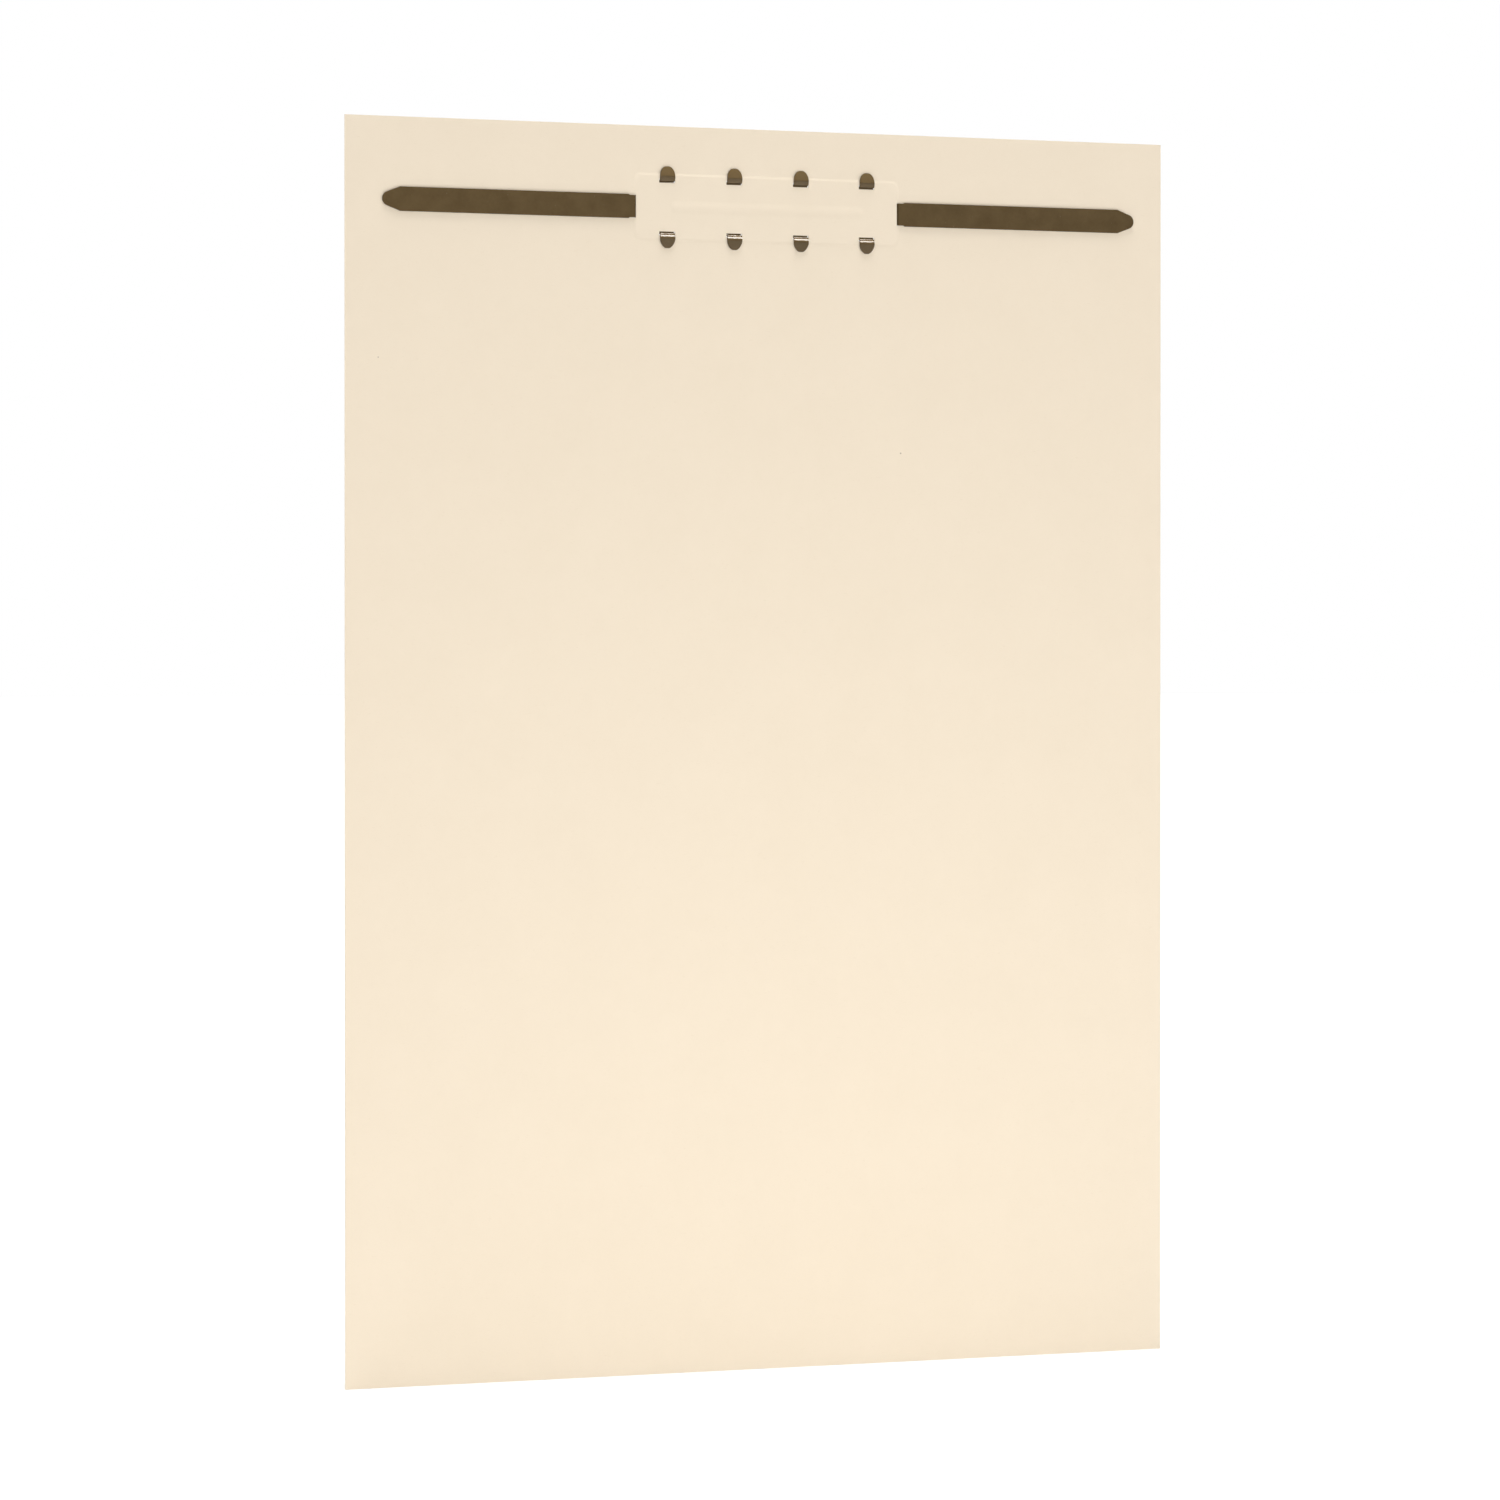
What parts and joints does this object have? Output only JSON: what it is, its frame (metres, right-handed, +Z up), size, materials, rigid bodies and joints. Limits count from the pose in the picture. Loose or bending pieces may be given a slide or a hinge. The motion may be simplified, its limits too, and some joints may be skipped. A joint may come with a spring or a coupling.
{
  "type": "folder divider with prong fastener",
  "caption": "Plain card divider sheet with a metal prong fastener clinched near its top edge; the prongs bend at their roots to hold punched papers.",
  "frame": {"origin": "middle of the sheet's bottom edge, half way through the card", "axes": "+Z up the sheet to the edge with the fastener, +X to the right as seen from the front, +Y through the card to the back; the prongs are on the front, towards -Y"},
  "size_m": [0.216, 0.0009, 0.2794],
  "materials": {
    "manila_card": "matte",
    "bronze_lacquer": "satin"
  },
  "bodies": {
    "divider": {"divider_sheet": "manila_card", "fastener_base": "bronze_lacquer"},
    "left_prong": {"left_prong": "bronze_lacquer"},
    "right_prong": {"right_prong": "bronze_lacquer"}
  },
  "joints": [
    {"name": "left_prong_bend", "type": "hinge", "parent": "divider", "child": "left_prong", "pos_m": [-0.03422, -0.0005, 0.2613], "axis": [0, 0, 1], "range_deg": [0, 180]},
    {"name": "right_prong_bend", "type": "hinge", "parent": "divider", "child": "right_prong", "pos_m": [0.03562, -0.0005, 0.2613], "axis": [0, 0, -1], "range_deg": [0, 176]}
  ]
}
